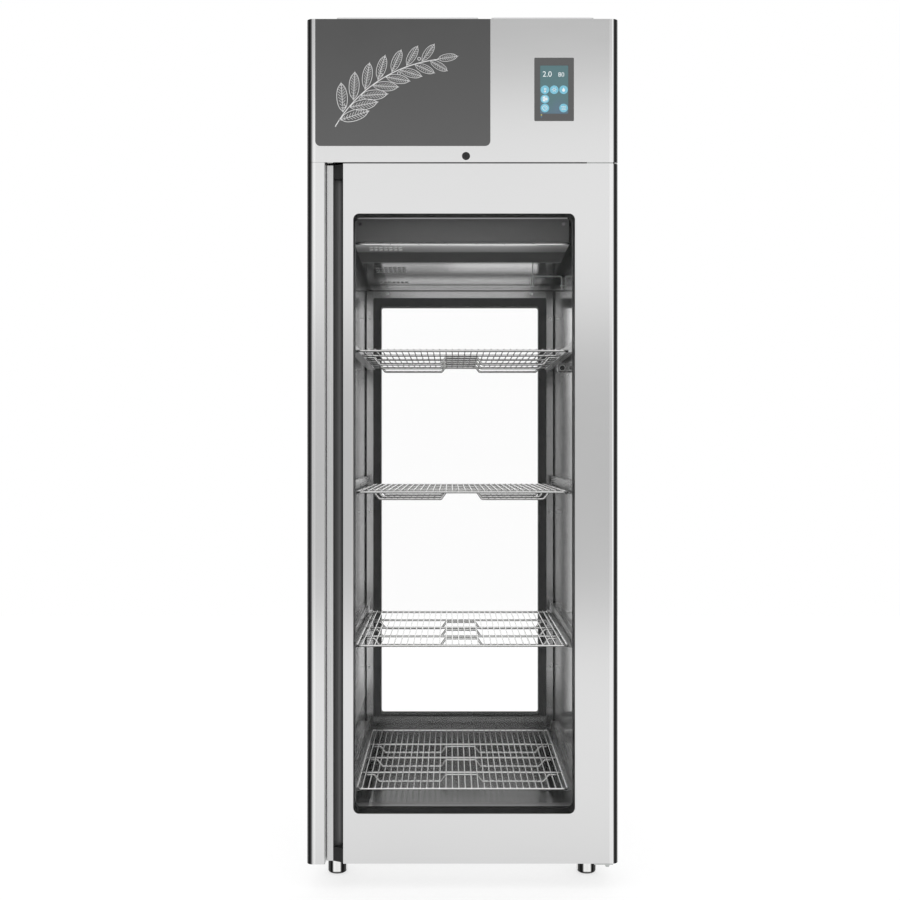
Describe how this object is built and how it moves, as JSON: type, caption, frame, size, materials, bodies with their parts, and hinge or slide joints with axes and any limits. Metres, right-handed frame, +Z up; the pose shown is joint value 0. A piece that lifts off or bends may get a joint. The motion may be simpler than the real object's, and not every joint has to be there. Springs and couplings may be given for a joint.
{
  "type": "dry aging cabinet",
  "caption": "Tall steel cabinet on round legs with a hinged glass door, wire racks on side rails, a rear window and a cooling unit over the chamber.",
  "frame": {"origin": "middle of the outline's width and depth, on the floor under the legs", "axes": "+X to the right as seen from the front, +Y from the door to the back, +Z up"},
  "size_m": [0.75, 0.85, 2.105],
  "materials": {
    "casing_steel": "satin",
    "chamber_steel": "satin",
    "rack_wire": "gloss",
    "leg_steel": "gloss",
    "small_steel": "satin",
    "grip_aluminium": "satin",
    "foam": "matte",
    "breaker_plastic": "matte",
    "black_plastic": "satin",
    "seal_rubber": "matte",
    "clear_glass": "gloss",
    "graphic_film": "gloss",
    "bezel_plastic": "satin",
    "display_glass": "gloss",
    "lamp_plastic": "gloss",
    "black_enamel": "gloss",
    "fin_aluminium": "satin",
    "copper_pipe": "satin"
  },
  "bodies": {
    "cabinet": {"side_panel_left": "casing_steel", "side_panel_right": "casing_steel", "base_pan": "casing_steel", "inner_liner": "chamber_steel", "insulation": "foam", "breaker_frame": "breaker_plastic", "front_stile": "casing_steel", "rear_glass": "clear_glass", "rear_glass_spacer": "black_plastic", "rear_inner_frame": "chamber_steel", "rear_window_gasket": "seal_rubber", "rear_frame_screws": "small_steel", "rear_outer_frame": "casing_steel", "header_panel": "casing_steel", "graphic_plate": "graphic_film", "display_bezel": "bezel_plastic", "display_screen": "display_glass", "lock_housing": "black_plastic", "compartment_deck": "casing_steel", "rear_grille": "casing_steel", "power_inlet": "black_plastic", "top_panel": "casing_steel", "top_lids": "casing_steel", "hinge_upper": "small_steel", "hinge_lower": "small_steel", "guide_rails": "chamber_steel", "plenum_housing": "chamber_steel", "evaporator_coil": "fin_aluminium", "evaporator_fan_motor": "black_enamel", "condenser": "fin_aluminium", "condenser_shroud": "black_plastic", "condenser_fan_motor": "black_enamel", "compressor": "black_enamel", "compressor_mounts": "seal_rubber", "refrigerant_pipes": "copper_pipe", "control_box": "bezel_plastic", "light_bar": "lamp_plastic", "wall_sensor": "small_steel", "probe": "small_steel"},
    "door": {"door_skin": "casing_steel", "door_core_foam": "foam", "door_inner_frame": "casing_steel", "door_glass": "clear_glass", "door_glass_spacer": "black_plastic", "door_gasket": "seal_rubber", "grip_profile": "grip_aluminium", "grip_caps": "black_plastic", "hinge_bushes": "black_plastic"},
    "lock": {"lock_barrel": "small_steel", "lock_cam": "small_steel"},
    "rack_1": {"rack_1": "rack_wire"},
    "rack_2": {"rack_2": "rack_wire"},
    "rack_3": {"rack_3": "rack_wire"},
    "rack_4": {"rack_4": "rack_wire"},
    "condenser_fan": {"condenser_fan_blades": "fin_aluminium"},
    "evaporator_fan": {"evaporator_fan_blades": "black_plastic"},
    "foot_front_left": {"foot_front_left": "leg_steel"},
    "foot_front_right": {"foot_front_right": "leg_steel"},
    "foot_rear_left": {"foot_rear_left": "leg_steel"},
    "foot_rear_right": {"foot_rear_right": "leg_steel"}
  },
  "joints": [
    {"name": "door_hinge", "type": "hinge", "parent": "cabinet", "child": "door", "pos_m": [0.352, -0.397, 0.9], "axis": [0, 0, 1], "range_deg": [0, 105]},
    {"name": "lock_turn", "type": "hinge", "parent": "cabinet", "child": "lock", "pos_m": [0.0085, -0.41, 1.765], "axis": [0, 1, 0], "range_deg": [0, 90]},
    {"name": "rack_1_slide", "type": "slide", "parent": "cabinet", "child": "rack_1", "axis": [0, -1, 0], "range_m": [0, 0.028]},
    {"name": "rack_2_slide", "type": "slide", "parent": "cabinet", "child": "rack_2", "axis": [0, -1, 0], "range_m": [0, 0.028]},
    {"name": "rack_3_slide", "type": "slide", "parent": "cabinet", "child": "rack_3", "axis": [0, -1, 0], "range_m": [0, 0.028]},
    {"name": "rack_4_slide", "type": "slide", "parent": "cabinet", "child": "rack_4", "axis": [0, -1, 0], "range_m": [0, 0.028]},
    {"name": "condenser_fan_spin", "type": "hinge", "parent": "cabinet", "child": "condenser_fan", "pos_m": [0.12, 0.207, 1.902], "axis": [0, 1, 0], "continuous": true},
    {"name": "evaporator_fan_spin", "type": "hinge", "parent": "cabinet", "child": "evaporator_fan", "pos_m": [0, -0.072, 1.63], "axis": [0, 1, 0], "continuous": true},
    {"name": "foot_front_left_screw", "type": "slide", "parent": "cabinet", "child": "foot_front_left", "axis": [0, 0, -1], "range_m": [0, 0.02]},
    {"name": "foot_front_right_screw", "type": "slide", "parent": "cabinet", "child": "foot_front_right", "axis": [0, 0, -1], "range_m": [0, 0.02]},
    {"name": "foot_rear_left_screw", "type": "slide", "parent": "cabinet", "child": "foot_rear_left", "axis": [0, 0, -1], "range_m": [0, 0.02]},
    {"name": "foot_rear_right_screw", "type": "slide", "parent": "cabinet", "child": "foot_rear_right", "axis": [0, 0, -1], "range_m": [0, 0.02]}
  ]
}
